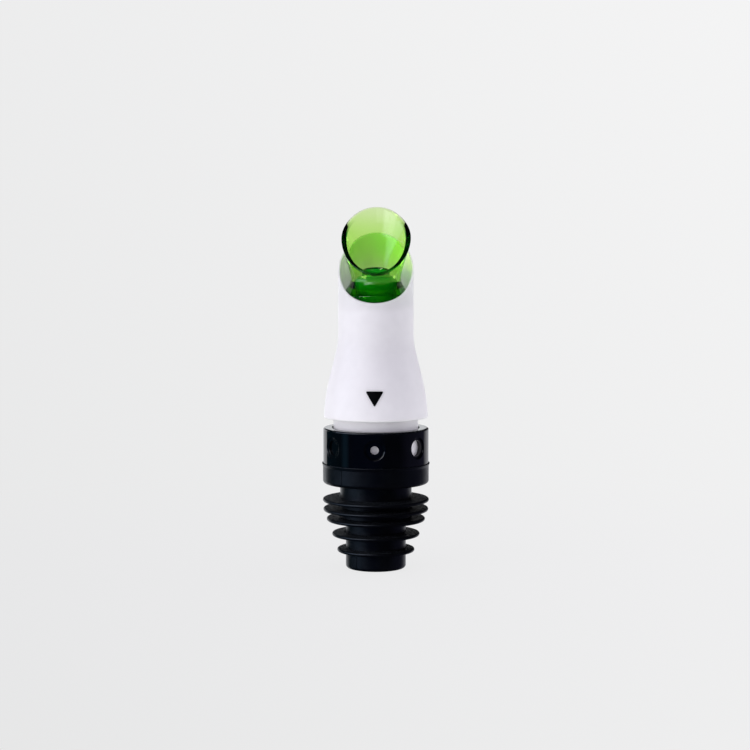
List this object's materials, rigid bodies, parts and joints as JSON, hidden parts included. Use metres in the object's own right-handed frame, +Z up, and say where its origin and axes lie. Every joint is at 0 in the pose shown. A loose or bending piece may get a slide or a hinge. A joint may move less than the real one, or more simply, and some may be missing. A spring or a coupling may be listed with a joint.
{
  "type": "bottle pour spout",
  "caption": "Bottle pour spout: finned rubber stopper, glossy collar with closed, small and large air vents, turning white head and a clear green oblique spout.",
  "frame": {"origin": "centre of the stopper flange's underside, which seats on the bottle's mouth", "axes": "+Z up along the spout's axis, -Y the front with the pointer and vents, +Y the side that pours"},
  "size_m": [0.025, 0.025, 0.0836],
  "materials": {
    "stopper_rubber": "fine matt grain",
    "satin_black_plastic": "satin",
    "natural_plastic": "natural polypropylene, slightly milky",
    "seal_silicone": "matt silicone",
    "gloss_black_plastic": "polished, high gloss",
    "white_plastic": "satin moulded",
    "o_ring_rubber": "matt",
    "pointer_black": "satin",
    "green_clear_plastic": "clear green, polished"
  },
  "bodies": {
    "base": {"stopper": "stopper_rubber", "base_insert": "satin_black_plastic", "breather_tube": "natural_plastic", "seat_washer": "seal_silicone", "dial_collar": "gloss_black_plastic"},
    "head": {"neck_sleeve": "white_plastic", "vent_port_seal": "seal_silicone", "drum_o_ring_lower": "o_ring_rubber", "drum_o_ring_upper": "o_ring_rubber", "stem_o_ring": "o_ring_rubber", "spout_shell": "white_plastic", "pointer_inlay": "pointer_black", "spout_gasket": "o_ring_rubber", "spout_tube": "green_clear_plastic", "pour_nozzle": "green_clear_plastic"}
  },
  "joints": [
    {"name": "vent_turn", "type": "hinge", "parent": "base", "child": "head", "pos_m": [0, 0, 0.00885], "axis": [0, 0, 1], "range_deg": [-54, 54]}
  ]
}
